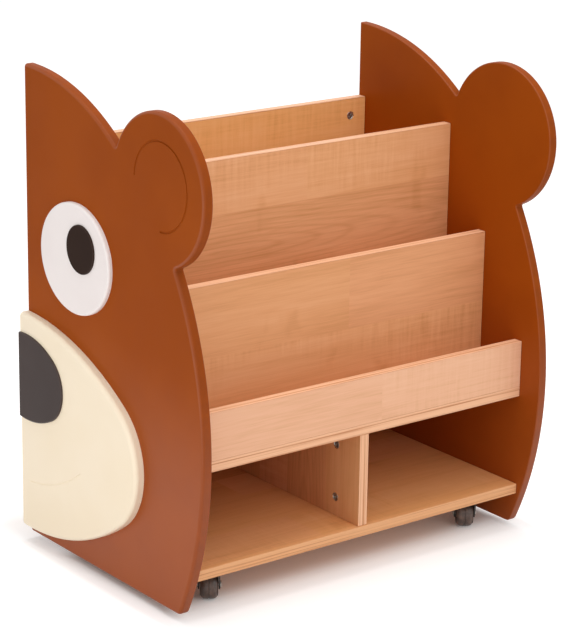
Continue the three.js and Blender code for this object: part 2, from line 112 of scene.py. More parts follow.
def softenEdges(mesh, width, segments=2, angle=40):
    limit = math.radians(angle)
    inner = [edge for edge in mesh.edges if len(edge.link_faces) == 2]
    edges = [edge for edge in inner if edge.calc_face_angle() > limit]
    bmesh.ops.bevel(
        mesh,
        geom=edges,
        offset=width,
        segments=segments,
        profile=0.5,
        affect="EDGES",
        clamp_overlap=True,
    )
    return mesh


def blockMesh(low, high, bevel=0.0, segments=2):
    mesh = bmesh.new()
    bmesh.ops.create_cube(mesh, size=1)
    bmesh.ops.scale(mesh, vec=high - low, verts=mesh.verts)
    bmesh.ops.translate(mesh, vec=(low + high) / 2, verts=mesh.verts)
    if bevel:
        softenEdges(mesh, bevel, segments)
    return mesh


def turnedMesh(profile, steps, closed=False):  # radius and height pairs turned about Z
    mesh = bmesh.new()
    rings = []
    for radius, height in profile:
        if radius == 0:
            rings.append([mesh.verts.new((0, 0, height))])
            continue
        ring = []
        for step in range(steps):
            angle = 2 * math.pi * step / steps
            ring.append(mesh.verts.new((radius * math.cos(angle), radius * math.sin(angle), height)))
        rings.append(ring)
    pairs = list(zip(rings, rings[1:]))
    if closed:
        pairs.append((rings[-1], rings[0]))
    for lower, upper in pairs:
        for step in range(steps):
            after = (step + 1) % steps
            corners = [lower[step % len(lower)], lower[after % len(lower)]]
            corners += [upper[after % len(upper)], upper[step % len(upper)]]
            corners = list(dict.fromkeys(corners))
            if len(corners) > 2:
                mesh.faces.new(corners)
    bmesh.ops.recalc_face_normals(mesh, faces=mesh.faces[:])
    return mesh


def rodMesh(radius, bottom, top, steps):
    return turnedMesh([(0, bottom), (radius, bottom), (radius, top), (0, top)], steps)


def joinRings(mesh, rings):  # walls between closed rings of points, and a lid at each end
    for lower, upper in zip(rings, rings[1:]):
        for index in range(len(lower)):
            after = (index + 1) % len(lower)
            mesh.faces.new((lower[index], lower[after], upper[after], upper[index]))
    mesh.faces.new(rings[0])
    mesh.faces.new(rings[-1])
    bmesh.ops.recalc_face_normals(mesh, faces=mesh.faces[:])
    return mesh


def crossedSlots(length, width, bottom, top):  # two narrow blocks that cross in the middle
    far = length / 2
    near = width / 2
    return [
        blockMesh(Vector((-far, -near, bottom)), Vector((far, near, top))),
        blockMesh(Vector((-near, -far, bottom)), Vector((near, far, top))),
    ]


def placed(mesh, matrix):
    bmesh.ops.transform(mesh, matrix=matrix, verts=mesh.verts)
    return mesh


def roundCorner(centre, radius, start, end, steps):  # points along an arc, angles in degrees
    angles = [math.radians(start + (end - start) * step / steps) for step in range(steps + 1)]
    return [(centre[0] + radius * math.cos(a), centre[1] + radius * math.sin(a)) for a in angles]


# Small helpers for materials

def colourOf(red, green, blue):  # screen values to the linear ones that Blender mixes
    def linear(value):
        share = value / 255
        return share / 12.92 if share <= 0.04045 else ((share + 0.055) / 1.055) ** 2.4
    return (linear(red), linear(green), linear(blue), 1)


def addNode(tree, kind, inputs=None, **options):
    node = tree.nodes.new(kind)
    for option, value in options.items():
        setattr(node, option, value)
    for key, value in (inputs or {}).items():
        if isinstance(value, bpy.types.NodeSocket):
            tree.links.new(value, node.inputs[key])
        else:
            node.inputs[key].default_value = value
    return node


def maths(tree, operation, *values):
    return addNode(tree, "ShaderNodeMath", dict(enumerate(values)), operation=operation).outputs[0]


def sway(tree, total, share, amount):  # a total moved up or down by a share around one half
    return maths(tree, "MULTIPLY_ADD", maths(tree, "SUBTRACT", share, 0.5), amount, total)


def between(tree, value, low, high, newLow=0.0, newHigh=1.0):
    return addNode(tree, "ShaderNodeMapRange", {
        "Value": value,
        "From Min": low,
        "From Max": high,
        "To Min": newLow,
        "To Max": newHigh,
    }, interpolation_type="SMOOTHSTEP").outputs[0]


def mixColours(tree, factor, first, second):
    node = addNode(tree, "ShaderNodeMix", {0: factor, 6: first, 7: second}, data_type="RGBA")
    return node.outputs[2]


def vectorMaths(tree, operation, first, second):
    return addNode(tree, "ShaderNodeVectorMath", {0: first, 1: second}, operation=operation).outputs[0]


def stretched(tree, vector, sizes, shift=None):  # coordinates scaled along each axis, moved in depth
    scaled = vectorMaths(tree, "MULTIPLY", vector, sizes)
    if shift is None:
        return scaled
    depth = addNode(tree, "ShaderNodeCombineXYZ", {"Z": shift}).outputs[0]
    return vectorMaths(tree, "ADD", scaled, depth)


def noise(tree, vector, detail=2.0, rough=0.5, scale=1.0):
    inputs = {"Vector": vector, "Scale": scale, "Detail": detail, "Roughness": rough}
    return addNode(tree, "ShaderNodeTexNoise", inputs).outputs[0]


def newGroup(name, inputs, outputs):
    group = bpy.data.node_groups.new(name, "ShaderNodeTree")
    for label, kind, value in inputs:
        socket = group.interface.new_socket(name=label, in_out="INPUT", socket_type=kind)
        if value is not None:
            socket.default_value = value
    for label, kind in outputs:
        group.interface.new_socket(name=label, in_out="OUTPUT", socket_type=kind)
    given = group.nodes.new("NodeGroupInput").outputs
    wanted = group.nodes.new("NodeGroupOutput").inputs
    return group, given, wanted


# Shared effects as node groups

surfaceOutputs = [
    ("Color", "NodeSocketColor"),
    ("Roughness", "NodeSocketFloat"),
    ("Height", "NodeSocketFloat"),
]

grainFigure = {
    "staveWave": (17.0, 0.016),  # pitch and reach of the wave that makes the staves unequal
    "rowOffset": 0.43,
    "staveJump": 9.0,  # how far the pattern moves on from stave to stave
    "fine": ((5, 150, 30), 4, 0.6),  # stretch of a layer, its detail and its roughness
    "hair": ((18, 600, 80), 2, 0.5),
    "cloud": ((2.4, 15, 3), 3, 0.55),
    "ripple": ((130, 9, 20), 3, 0.6),
    "flamePatch": ((3, 9, 1), 2, 0.5),
    "archBend": ((3, 12, 2), 2, 0.5),
    "smudge": ((16, 10, 1), 2, 0.5),
    "flamePatchLimits": (0.4, 0.6),
    "smudgeLimits": (0.62, 0.8),
    "flamedStaves": (0.5, 0.6),  # each stave draws a number: low ones are arched, high ones flamed
    "archedStaves": (0.42, 0.3),
    "archWidth": 0.16,
    "archRun": (5.0, 0.8),  # jump from stave to stave, and length of one run of arches
    "archSlope": 0.11,
    "archWander": 0.02,
    "ringPitch": 620.0,
    "ringSharpness": 4.0,
    "cloudTone": 0.55,  # how much a layer moves the tone
    "fineTone": 0.48,
    "hairTone": 0.34,
    "smudgeTone": 0.22,
    "goldenSpread": 7.31,
    "roughness": (0.36, 0.16),  # lowest value, and what the fine grain adds
    "hairHeight": 0.5,
}


def makeLaminateGrain(figure):  # wood decor of uneven staves with plain, flamed or arched figure
    group, given, wanted = newGroup("laminateGrain", [
        ("Vector", "NodeSocketVector", None),
        ("Pale", "NodeSocketColor", (0.8, 0.6, 0.4, 1)),
        ("Middle", "NodeSocketColor", (0.7, 0.4, 0.2, 1)),
        ("Golden", "NodeSocketColor", (0.7, 0.4, 0.1, 1)),
        ("Deep", "NodeSocketColor", (0.5, 0.3, 0.1, 1)),
        ("Stave Length", "NodeSocketFloat", 0.6),
        ("Stave Width", "NodeSocketFloat", 0.11),
        ("Stave Contrast", "NodeSocketFloat", 0.3),
        ("Arches", "NodeSocketFloat", 0.3),
        ("Flame", "NodeSocketFloat", 0.3),
    ], surfaceOutputs)
    place = addNode(group, "ShaderNodeSeparateXYZ", {0: given["Vector"]}).outputs
    wavePitch, waveReach = figure["staveWave"]
    wave = maths(group, "SINE", maths(group, "MULTIPLY", place["Y"], wavePitch))
    across = maths(group, "MULTIPLY_ADD", wave, waveReach, place["Y"])
    vector = addNode(group, "ShaderNodeCombineXYZ", {
        "X": place["X"],
        "Y": across,
        "Z": place["Z"],
    }).outputs[0]
    stave = addNode(group, "ShaderNodeTexBrick", {
        "Vector": vector,
        "Color1": (0, 0, 0, 1),
        "Color2": (1, 1, 1, 1),
        "Scale": 1,
        "Mortar Size": 0,
        "Brick Width": given["Stave Length"],
        "Row Height": given["Stave Width"],
    }, offset=figure["rowOffset"]).outputs["Color"]
    shift = maths(group, "MULTIPLY", stave, figure["staveJump"])

    def layer(name):
        sizes, detail, rough = figure[name]
        return noise(group, stretched(group, vector, sizes, shift), detail, rough)

    flamed = between(group, layer("flamePatch"), *figure["flamePatchLimits"])
    flamed = maths(group, "MULTIPLY", flamed, between(group, stave, *figure["flamedStaves"]))
    flame = maths(group, "MULTIPLY", flamed, given["Flame"])

    inRow = maths(group, "FRACT", maths(group, "DIVIDE", across, given["Stave Width"]))
    inRow = maths(group, "MULTIPLY", maths(group, "SUBTRACT", inRow, 0.5), figure["archWidth"])
    jump, run = figure["archRun"]
    along = maths(group, "PINGPONG", maths(group, "MULTIPLY_ADD", stave, jump, place["X"]), run)
    cone = maths(group, "MULTIPLY", along, figure["archSlope"])
    cone = maths(group, "MULTIPLY_ADD", cone, cone, maths(group, "MULTIPLY", inRow, inRow))
    cone = sway(group, maths(group, "SQRT", cone), layer("archBend"), figure["archWander"])
    rings = maths(group, "SINE", maths(group, "MULTIPLY", cone, figure["ringPitch"]))
    rings = maths(group, "POWER", maths(group, "MULTIPLY_ADD", rings, 0.5, 0.5), figure["ringSharpness"])
    arches = maths(group, "MULTIPLY", rings, between(group, stave, *figure["archedStaves"]))

    fine = layer("fine")
    hair = layer("hair")
    smudge = between(group, layer("smudge"), *figure["smudgeLimits"])
    tone = sway(group, 0.5, stave, given["Stave Contrast"])
    tone = sway(group, tone, layer("cloud"), figure["cloudTone"])
    tone = sway(group, tone, fine, figure["fineTone"])
    tone = sway(group, tone, hair, figure["hairTone"])
    tone = sway(group, tone, layer("ripple"), flame)
    tone = maths(group, "SUBTRACT", tone, maths(group, "MULTIPLY", arches, given["Arches"]))
    tone = maths(group, "SUBTRACT", tone, maths(group, "MULTIPLY", smudge, figure["smudgeTone"]))
    golden = maths(group, "FRACT", maths(group, "MULTIPLY", stave, figure["goldenSpread"]))
    colour = mixColours(group, golden, given["Middle"], given["Golden"])
    lower = addNode(group, "ShaderNodeMapRange", {"Value": tone, "From Max": 0.5}).outputs[0]
    upper = addNode(group, "ShaderNodeMapRange", {"Value": tone, "From Min": 0.5}).outputs[0]
    colour = mixColours(group, lower, given["Deep"], colour)
    colour = mixColours(group, upper, colour, given["Pale"])
    smoothest, rise = figure["roughness"]
    group.links.new(colour, wanted["Color"])
    group.links.new(maths(group, "MULTIPLY_ADD", fine, rise, smoothest), wanted["Roughness"])
    group.links.new(maths(group, "MULTIPLY_ADD", hair, figure["hairHeight"], fine), wanted["Height"])
    return group


bandFigure = {
    "lines": (0.9, 260, 260),  # stretch along the band and across it
    "lineDetail": (3, 0.7),
    "thinLines": (9, 900, 900),
    "thinTone": 0.35,
    "toneLimits": (0.3, 0.56),
    "roughness": (0.34, 0.15),  # lowest value, and what the lines add
}


def makeBandStripes(figure):  # lengthwise lines of a glued edge band
    group, given, wanted = newGroup("bandStripes", [
        ("Vector", "NodeSocketVector", None),
        ("Pale", "NodeSocketColor", (0.8, 0.6, 0.4, 1)),
        ("Deep", "NodeSocketColor", (0.5, 0.3, 0.1, 1)),
    ], surfaceOutputs)
    vector = given["Vector"]
    lines = noise(group, stretched(group, vector, figure["lines"]), *figure["lineDetail"])
    thin = noise(group, stretched(group, vector, figure["thinLines"]))
    tone = sway(group, lines, thin, figure["thinTone"])
    share = between(group, tone, *figure["toneLimits"])
    smoothest, rise = figure["roughness"]
    group.links.new(mixColours(group, share, given["Deep"], given["Pale"]), wanted["Color"])
    group.links.new(maths(group, "MULTIPLY_ADD", lines, rise, smoothest), wanted["Roughness"])
    group.links.new(tone, wanted["Height"])
    return group


lacquerFigure = {
    "cloud": (3, 0.55, 5.0),  # detail, roughness and scale of a layer
    "edgePatches": (3, 0.6, 45.0),
    "smudge": (4, 0.6, 16.0),
    "peel": (2, 0.5, 420.0),
    "cloudLimits": (0.36, 0.66),
    "edgePatchLimits": (0.2, 0.7, 0.45, 1),
    "smudgeLimits": (0.3, 0.7),
    "lowPart": (0.46, 0.2),  # heights between which the low coat sets in
    "peelDepth": 0.0002,
}


def makeLacquerSkin(figure):  # cloudy tone, orange peel, smudged gloss, coat on round edges
    group, given, wanted = newGroup("lacquerSkin", [
        ("Vector", "NodeSocketVector", None),
        ("Body", "NodeSocketColor", (0.5, 0.2, 0.1, 1)),
        ("Shade", "NodeSocketColor", (0.4, 0.15, 0.1, 1)),
        ("Edge", "NodeSocketColor", (0.6, 0.3, 0.2, 1)),
        ("Rim", "NodeSocketFloat", 0),
        ("Gloss Low", "NodeSocketFloat", 0.36),
        ("Gloss High", "NodeSocketFloat", 0.46),
        ("Low Coat", "NodeSocketFloat", 0),
        ("Edge Coat", "NodeSocketFloat", 0.3),
    ], surfaceOutputs + [("Coat", "NodeSocketFloat")])
    vector = given["Vector"]
    rim = given["Rim"]
    cloud = between(group, noise(group, vector, *figure["cloud"]), *figure["cloudLimits"])
    # Round edges take the Edge colour in noisy patches: painted shade on the brown lacquer, a painted
    # highlight on the others.
    paintedEdgeMask = between(group, noise(group, vector, *figure["edgePatches"]), *figure["edgePatchLimits"])
    colour = mixColours(group, cloud, given["Body"], given["Shade"])
    colour = mixColours(group, maths(group, "MULTIPLY", rim, paintedEdgeMask), colour, given["Edge"])
    smudgeLow, smudgeHigh = figure["smudgeLimits"]
    gloss = addNode(group, "ShaderNodeMapRange", {
        "Value": noise(group, vector, *figure["smudge"]),
        "From Min": smudgeLow,
        "From Max": smudgeHigh,
        "To Min": given["Gloss Low"],
        "To Max": given["Gloss High"],
    }).outputs[0]
    height = addNode(group, "ShaderNodeSeparateXYZ", {0: vector}).outputs["Z"]
    low = maths(group, "MULTIPLY", between(group, height, *figure["lowPart"]), given["Low Coat"])
    bend = maths(group, "MULTIPLY", rim, maths(group, "SUBTRACT", 1.0, rim))
    coat = maths(group, "MAXIMUM", low, maths(group, "MULTIPLY", bend, given["Edge Coat"]))
    group.links.new(colour, wanted["Color"])
    group.links.new(gloss, wanted["Roughness"])
    group.links.new(noise(group, vector, *figure["peel"]), wanted["Height"])
    group.links.new(coat, wanted["Coat"])
    return group


scuffFigure = {
    "patch": (5, 0.65, 70.0),  # detail, roughness and scale of a layer
    "grain": (3, 0.6, 500.0),
    "patchLimits": (0.42, 0.72),
    "scratches": (90, 900, 400),
    "scratchLimits": (0.6, 0.72),
    "bump": 0.15,
    "bumpDepth": 0.0002,
}


def makeHandlingScuffs(figure):  # dust and light scratches on castors and fittings
    group, given, wanted = newGroup("handlingScuffs", [
        ("Vector", "NodeSocketVector", None),
        ("Body", "NodeSocketColor", (0.2, 0.2, 0.2, 1)),
        ("Scuff", "NodeSocketColor", (0.4, 0.4, 0.4, 1)),
        ("Amount", "NodeSocketFloat", 0.4),
        ("Rough Low", "NodeSocketFloat", 0.3),
        ("Rough High", "NodeSocketFloat", 0.5),
    ], surfaceOutputs)
    vector = given["Vector"]
    patch = between(group, noise(group, vector, *figure["patch"]), *figure["patchLimits"])
    scratch = noise(group, stretched(group, vector, figure["scratches"]))
    scratch = between(group, scratch, *figure["scratchLimits"])
    mask = maths(group, "MULTIPLY", maths(group, "MAXIMUM", patch, scratch), given["Amount"])
    rough = addNode(group, "ShaderNodeMapRange", {
        "Value": patch,
        "To Min": given["Rough Low"],
        "To Max": given["Rough High"],
    }).outputs[0]
    height = maths(group, "SUBTRACT", noise(group, vector, *figure["grain"]), scratch)
    group.links.new(mixColours(group, mask, given["Body"], given["Scuff"]), wanted["Color"])
    group.links.new(rough, wanted["Roughness"])
    group.links.new(height, wanted["Height"])
    return group


laminateGrain = makeLaminateGrain(grainFigure)
bandStripes = makeBandStripes(bandFigure)
lacquerSkin = makeLacquerSkin(lacquerFigure)
handlingScuffs = makeHandlingScuffs(scuffFigure)
print("node groups ready")


# Materials

def startMaterial(name):
    material = bpy.data.materials.new(name)
    material.use_nodes = True
    tree = material.node_tree
    shader = tree.nodes["Principled BSDF"]
    place = addNode(tree, "ShaderNodeTexCoord").outputs["Object"]
    return material, tree, shader, place


def dressShader(tree, shader, effect, bump, bumpDepth):
    tree.links.new(effect.outputs["Color"], shader.inputs["Base Color"])
    tree.links.new(effect.outputs["Roughness"], shader.inputs["Roughness"])
    inputs = {"Height": effect.outputs["Height"], "Strength": bump, "Distance": bumpDepth}
    relief = addNode(tree, "ShaderNodeBump", inputs)
    tree.links.new(relief.outputs["Normal"], shader.inputs["Normal"])


def grainOrder(tree, place, order, shift):  # along the grain, across it, and through the board
    parts = addNode(tree, "ShaderNodeSeparateXYZ", {0: place}).outputs
    inputs = {axis: parts[name] for axis, name in zip("XYZ", order)}
    joined = addNode(tree, "ShaderNodeCombineXYZ", inputs).outputs[0]
    return vectorMaths(tree, "ADD", joined, shift)


woodDecor = {
    # pale, middle, golden and deep tones of the boards, pale and deep ones of the bands
    # lightTones, warmTones, baseTones and baseBandTones are the one decor with painted light and shade:
    # a paler front lip (painted light), a lighter, warmer back board and base shelf (painted warm bounce
    # light) and a darker base shelf front band (painted shade)
    "lightTones": ((241, 193, 160), (231, 177, 143), (227, 175, 134), (200, 144, 98)),
    "plainTones": ((235, 178, 136), (222, 158, 114), (217, 156, 104), (186, 127, 74)),
    "warmTones": ((247, 192, 138), (239, 175, 119), (236, 174, 109), (206, 142, 79)),
    "baseTones": ((241, 183, 132), (232, 166, 113), (229, 164, 104), (198, 132, 75)),
    "bandTones": ((236, 184, 146), (188, 124, 82)),
    "baseBandTones": ((225, 168, 121), (179, 113, 67)),
    "specular": 0.14,
    "staveLength": 0.94,
    "staveWidth": 0.098,
    "staveContrast": 0.24,
    "arches": 0.11,
    "flame": 0.62,
    "bump": 0.12,
    "bumpDepth": 0.0003,
}


def makeBoardMaterial(name, tones, order, shift):
    material, tree, shader, place = startMaterial(name)
    pale, middle, golden, deep = [colourOf(*tone) for tone in woodDecor[tones]]
    effect = addNode(tree, "ShaderNodeGroup", {
        "Vector": grainOrder(tree, place, order, shift),
        "Pale": pale,
        "Middle": middle,
        "Golden": golden,
        "Deep": deep,
        "Stave Length": woodDecor["staveLength"],
        "Stave Width": woodDecor["staveWidth"],
        "Stave Contrast": woodDecor["staveContrast"],
        "Arches": woodDecor["arches"],
        "Flame": woodDecor["flame"],
    }, node_tree=laminateGrain)
    shader.inputs["Specular IOR Level"].default_value = woodDecor["specular"]
    dressShader(tree, shader, effect, woodDecor["bump"], woodDecor["bumpDepth"])
    return material


def makeBandMaterial(name, tones, order, shift):
    material, tree, shader, place = startMaterial(name)
    pale, deep = [colourOf(*tone) for tone in woodDecor[tones]]
    effect = addNode(tree, "ShaderNodeGroup", {
        "Vector": grainOrder(tree, place, order, shift),
        "Pale": pale,
        "Deep": deep,
    }, node_tree=bandStripes)
    shader.inputs["Specular IOR Level"].default_value = woodDecor["specular"]
    dressShader(tree, shader, effect, woodDecor["bump"], woodDecor["bumpDepth"])
    return material


# edge is a colour painted on the round edges: painted shade on the brown, a painted highlight on the
# others
lacquers = {
    "brown": {
        "body": (157, 73, 13),
        "shade": (150, 68, 12),
        "edge": (136, 64, 24),
        "gloss": (0.36, 0.46),
        "specular": 0.035,
        "lowCoat": 0.5,
        "edgeCoat": 2.2,
        "peel": 0.1,
    },
    "cream": {
        "body": (249, 233, 207),
        "shade": (247, 230, 202),
        "edge": (251, 238, 212),
        "gloss": (0.36, 0.46),
        "specular": 0.3,
        "lowCoat": 0.0,
        "edgeCoat": 1.2,
        "peel": 0.08,
    },
    "white": {
        "body": (243, 234, 231),
        "shade": (239, 229, 226),
        "edge": (248, 243, 240),
        "gloss": (0.34, 0.44),
        "specular": 0.3,
        "lowCoat": 0.0,
        "edgeCoat": 1.2,
        "peel": 0.08,
    },
    "nose": {
        "body": (61, 48, 45),
        "shade": (57, 45, 42),
        "edge": (78, 66, 62),
        "gloss": (0.3, 0.4),
        "specular": 0.1,
        "lowCoat": 0.0,
        "edgeCoat": 1.2,
        "peel": 0.08,
    },
    "pupil": {
        "body": (45, 28, 20),
        "shade": (41, 25, 18),
        "edge": (56, 40, 33),
        "gloss": (0.3, 0.4),
        "specular": 0.03,
        "lowCoat": 0.0,
        "edgeCoat": 1.2,
        "peel": 0.08,
    },
}


def makeLacquer(name, settings):
    material, tree, shader, place = startMaterial(name)
    glossLow, glossHigh = settings["gloss"]
    effect = addNode(tree, "ShaderNodeGroup", {
        "Vector": place,
        "Body": colourOf(*settings["body"]),
        "Shade": colourOf(*settings["shade"]),
        "Edge": colourOf(*settings["edge"]),
        "Rim": addNode(tree, "ShaderNodeAttribute", attribute_name="rim").outputs["Fac"],
        "Gloss Low": glossLow,
        "Gloss High": glossHigh,
        "Low Coat": settings["lowCoat"],
        "Edge Coat": settings["edgeCoat"],
    }, node_tree=lacquerSkin)
    tree.links.new(effect.outputs["Coat"], shader.inputs["Coat Weight"])
    shader.inputs["Coat Roughness"].default_value = glossHigh
    shader.inputs["Specular IOR Level"].default_value = settings["specular"]
    dressShader(tree, shader, effect, settings["peel"], lacquerFigure["peelDepth"])
    return material


fittingFinishes = {
    "castorNylon": {
        "body": (80, 64, 57),
        "scuff": (132, 110, 99),
        "amount": 0.6,
        "rough": (0.34, 0.55),
        "metal": 0.0,
    },
    "blackSteel": {
        "body": (34, 29, 27),
        "scuff": (74, 68, 64),
        "amount": 0.35,
        "rough": (0.36, 0.52),
        "metal": 0.0,
    },
    "zinc": {
        "body": (176, 172, 166),
        "scuff": (122, 118, 114),
        "amount": 0.5,
        "rough": (0.28, 0.46),
        "metal": 0.85,
    },
}


def makeFitting(name, settings):
    material, tree, shader, place = startMaterial(name)
    roughLow, roughHigh = settings["rough"]
    effect = addNode(tree, "ShaderNodeGroup", {
        "Vector": place,
        "Body": colourOf(*settings["body"]),
        "Scuff": colourOf(*settings["scuff"]),
        "Amount": settings["amount"],
        "Rough Low": roughLow,
        "Rough High": roughHigh,
    }, node_tree=handlingScuffs)
    shader.inputs["Metallic"].default_value = settings["metal"]
    dressShader(tree, shader, effect, scuffFigure["bump"], scuffFigure["bumpDepth"])
    return material


brownLacquer = makeLacquer("brownLacquer", lacquers["brown"])
creamLacquer = makeLacquer("creamLacquer", lacquers["cream"])
whiteLacquer = makeLacquer("whiteLacquer", lacquers["white"])
noseLacquer = makeLacquer("noseLacquer", lacquers["nose"])
pupilLacquer = makeLacquer("pupilLacquer", lacquers["pupil"])
castorNylon = makeFitting("castorNylon", fittingFinishes["castorNylon"])
blackSteel = makeFitting("blackSteel", fittingFinishes["blackSteel"])
zinc = makeFitting("zinc", fittingFinishes["zinc"])
print("materials ready")


# Outlines of the panels and face plates, forward of the back edge and up from the panel's bottom

panelLow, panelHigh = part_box("left_side_panel")
backY = panelHigh.y
panelBottom = panelLow.z
panelHeight = panelHigh.z - panelLow.z
panelDepth = panelHigh.y - panelLow.y
flatSupport = 0.0006  # narrow flat ring that keeps the shading of a face even
backEdgeBreak = 0.0006

panelShape = {
    "headRadius": 0.443,
    "earRadius": 0.1255,
    "earSetback": 0.0014,
    "earOverlap": 0.0765,
    "cheekRadius": 0.618,
    "cheekDrop": 0.4215,
    "notchRadius": 0.004,
    "cornerRadius": 0.012,
    "outerRound": 0.0055,
    "innerBevel": 0.002,
    "roundSteps": 8,
    "cornerSteps": 8,
    "cheekSteps": 80,
    "notchSteps": 8,
    "earSteps": 90,
    "headSteps": 48,
}

earGroove = {
    "radius": 0.0723,
    "offset": (0.0093, 0.0087),
    "width": 0.0036,
    "depth": 0.0018,
    "start": -90,
    "end": 175,
    "steps": 96,
}

muzzleShape = {
    "reach": 0.3492,
    "height": 0.2081,
    "sideRadius": 0.1251,
    "topRadius": 0.5351,
    "topAngle": 55.5,
    "bottomRadius": 0.4759,
    "bottomAngle": -53.8,
    "round": 0.008,
    "roundSteps": 10,
    "longSteps": 40,
    "sideSteps": 48,
}

mouthGroove = {
    "radius": 0.3065,
    "centre": (0.0, 0.4115),
    "width": 0.0024,
    "depth": 0.0009,
    "start": -84.8,
    "end": -53.1,
    "steps": 60,
}

noseShape = {
    "reach": 0.1336,
    "height": 0.2918,
    "sideRadius": 0.0626,
    "topRadius": 0.1588,
    "topAngle": 55.4,
    "bottomRadius": 0.1674,
    "bottomAngle": -62.5,
    "round": 0.002,
    "roundSteps": 6,
    "longSteps": 40,
    "sideSteps": 48,
}

eyeShape = {"round": 0.004, "roundSteps": 8, "steps": 120}
pupilShape = {"round": 0.0016, "roundSteps": 6, "steps": 96}
grooveSection = {"sides": 12, "endShares": (0.38, 0.7, 0.94)}  # steps in which an end closes


def arcPoints(centre, radius, start, end, steps, hollow=False):
    turn = 2 * math.pi
    sweep = -((start - end) % turn) if hollow else (end - start) % turn
    angles = [start + sweep * step / steps for step in range(steps + 1)]
    return [centre + radius * Vector((math.cos(a), math.sin(a))) for a in angles]


def directionOf(start, end):
    return math.atan2(end.y - start.y, end.x - start.x)


def crossing(centreA, radiusA, centreB, radiusB):
    way = centreB - centreA
    apart = way.length
    along = (apart ** 2 + radiusA ** 2 - radiusB ** 2) / (2 * apart)
    across = math.sqrt(radiusA ** 2 - along ** 2)
    way.normalize()
    return centreA + way * along + Vector((way.y, -way.x)) * across


headCentre = Vector((0, panelHeight - panelShape["headRadius"]))
earReach = panelShape["headRadius"] + panelShape["earRadius"] - panelShape["earOverlap"]
earForward = panelDepth - panelShape["earSetback"] - panelShape["earRadius"]
earCentre = Vector((earForward, headCentre.y + math.sqrt(earReach ** 2 - earForward ** 2)))
cheekCentre = Vector((panelDepth - panelShape["cheekRadius"], earCentre.y - panelShape["cheekDrop"]))


def panelOutline(inset, back):
    head = panelShape["headRadius"]
    ear = panelShape["earRadius"]
    cheek = panelShape["cheekRadius"]
    notch = panelShape["notchRadius"]
    cornerRadius = panelShape["cornerRadius"]
    low = crossing(cheekCentre, cheek + notch, earCentre, ear + notch)
    high = crossing(earCentre, ear + notch, headCentre, head + notch)
    reach = cheek - cornerRadius
    drop = cheekCentre.y - cornerRadius
    corner = Vector((cheekCentre.x + math.sqrt(reach ** 2 - drop ** 2), cornerRadius))
    cheekStart = directionOf(cheekCentre, corner)
    cheekEnd = directionOf(cheekCentre, low)
    earStart = directionOf(earCentre, low)
    earEnd = directionOf(earCentre, high)
    headStart = directionOf(headCentre, high)
    headEnd = math.acos(back / (head - inset))
    half = math.pi
    notchSteps = panelShape["notchSteps"]
    points = [Vector((back, inset))]
    points += arcPoints(corner, cornerRadius - inset, -half / 2, cheekStart, panelShape["cornerSteps"])
    points += arcPoints(cheekCentre, cheek - inset, cheekStart, cheekEnd, panelShape["cheekSteps"])[1:]
    points += arcPoints(low, notch + inset, cheekEnd + half, earStart + half, notchSteps, True)[1:]
    points += arcPoints(earCentre, ear - inset, earStart, earEnd, panelShape["earSteps"])[1:]
    points += arcPoints(high, notch + inset, earEnd + half, headStart + half, notchSteps, True)[1:]
    points += arcPoints(headCentre, head - inset, headStart, headEnd, panelShape["headSteps"])[1:]
    return points


def halfPlateOutline(shape, inset, back):
    side = Vector((shape["reach"] - shape["sideRadius"], shape["height"]))
    bottomAngle = math.radians(shape["bottomAngle"])
    topAngle = math.radians(shape["topAngle"])
    bottomReach = shape["bottomRadius"] - shape["sideRadius"]
    topReach = shape["topRadius"] - shape["sideRadius"]
    bottom = side - bottomReach * Vector((math.cos(bottomAngle), math.sin(bottomAngle)))
    top = side - topReach * Vector((math.cos(topAngle), math.sin(topAngle)))
    bottomRadius = shape["bottomRadius"] - inset
    topRadius = shape["topRadius"] - inset
    start = -math.acos((back - bottom.x) / bottomRadius)
    end = math.acos((back - top.x) / topRadius)
    sideRadius = shape["sideRadius"] - inset
    points = arcPoints(bottom, bottomRadius, start, bottomAngle, shape["longSteps"])
    points += arcPoints(side, sideRadius, bottomAngle, topAngle, shape["sideSteps"])[1:]
    points += arcPoints(top, topRadius, topAngle, end, shape["longSteps"])[1:]
    return points


def ovalOutline(shape, node, inset, back):  # an oval has no straight back edge, so back is not used
    low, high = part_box(node)
    centre = Vector((backY - (low.y + high.y) / 2, (low.z + high.z) / 2 - panelBottom))
    width = (high.y - low.y) / 2 - inset
    height = (high.z - low.z) / 2 - inset
    angles = [2 * math.pi * step / shape["steps"] for step in range(shape["steps"])]
    return [centre + Vector((width * math.cos(a), height * math.sin(a))) for a in angles]


bevelLevels = ((0, 1, 0.2), (0.3, 0.3, 0.6), (1, 0, 1))  # height and inset in bevels, rim mask


def edgeLevels(thickness, innerBevel, faceRound, steps):  # height, inset, back edge, rim mask
    levels = []
    if innerBevel:
        levels.append((0, innerBevel + flatSupport, flatSupport, 0))
        for height, inset, mask in bevelLevels:
            levels.append((innerBevel * height, innerBevel * inset, 0, mask))
    else:
        levels.append((0, 0, 0, 1))
    for step in range(steps + 1):
        angle = math.pi / 2 * step / steps
        height = thickness - faceRound * (1 - math.sin(angle))
        inset = faceRound * (1 - math.cos(angle))
        levels.append((height, inset, backEdgeBreak if step == steps else 0, math.cos(angle)))
    levels.append((thickness, faceRound + flatSupport, backEdgeBreak + flatSupport, 0))
    return levels


def stackedPlate(levels, outlineAt, side, innerX):
    mesh = bmesh.new()
    rim = mesh.verts.layers.float.new("rim")
    rings = []
    for height, inset, back, mask in levels:
        ring = []
        for point in outlineAt(inset, back):
            vert = mesh.verts.new((side * (innerX + height), backY - point.x, panelBottom + point.y))
            vert[rim] = mask
            ring.append(vert)
        rings.append(ring)
    return joinRings(mesh, rings)


